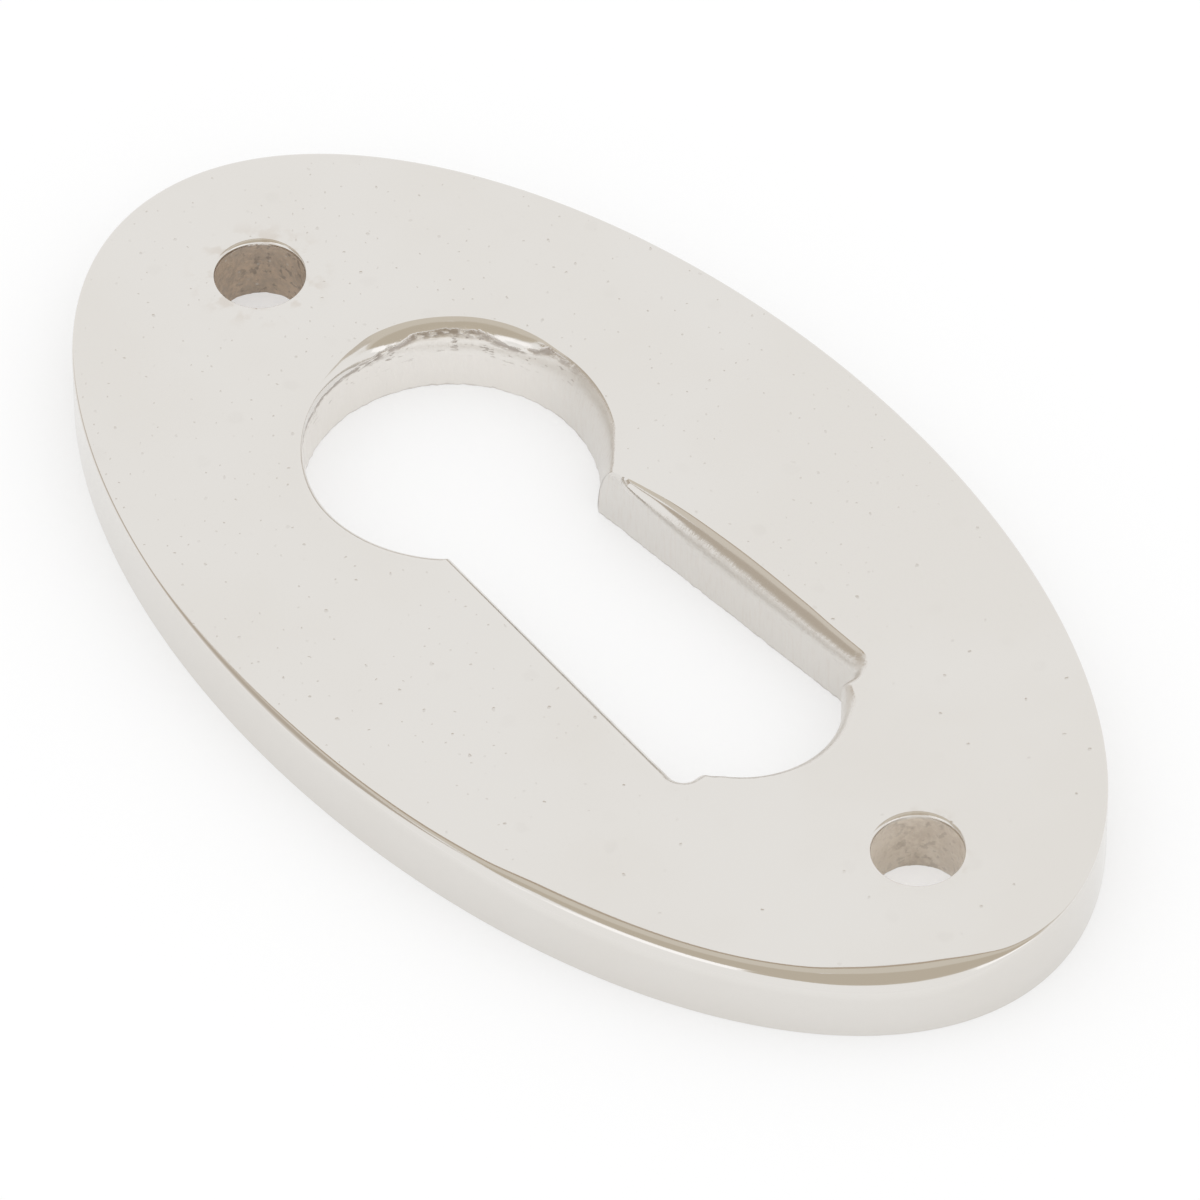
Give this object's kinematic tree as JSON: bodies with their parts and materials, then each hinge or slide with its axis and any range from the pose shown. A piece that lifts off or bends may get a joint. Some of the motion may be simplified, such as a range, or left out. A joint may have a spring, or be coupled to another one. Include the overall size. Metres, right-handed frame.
{
  "type": "keyhole escutcheon",
  "caption": "Flat oval escutcheon plate that frames a keyhole, with a round-headed keyhole, a rounded front edge and plain screw holes on its long axis.",
  "frame": {"origin": "centre of the oval, on the flat back face that lies against the door", "axes": "+Z out of the front face, +Y along the oval towards the keyhole's round head, which is taken as the top on a door, +X to the right seen from the front"},
  "size_m": [0.0288, 0.052, 0.0029],
  "materials": {
    "polished_nickel": "polished nickel, cut walls left rough"
  },
  "bodies": {
    "root": {"escutcheon_plate": "polished_nickel"}
  },
  "joints": []
}
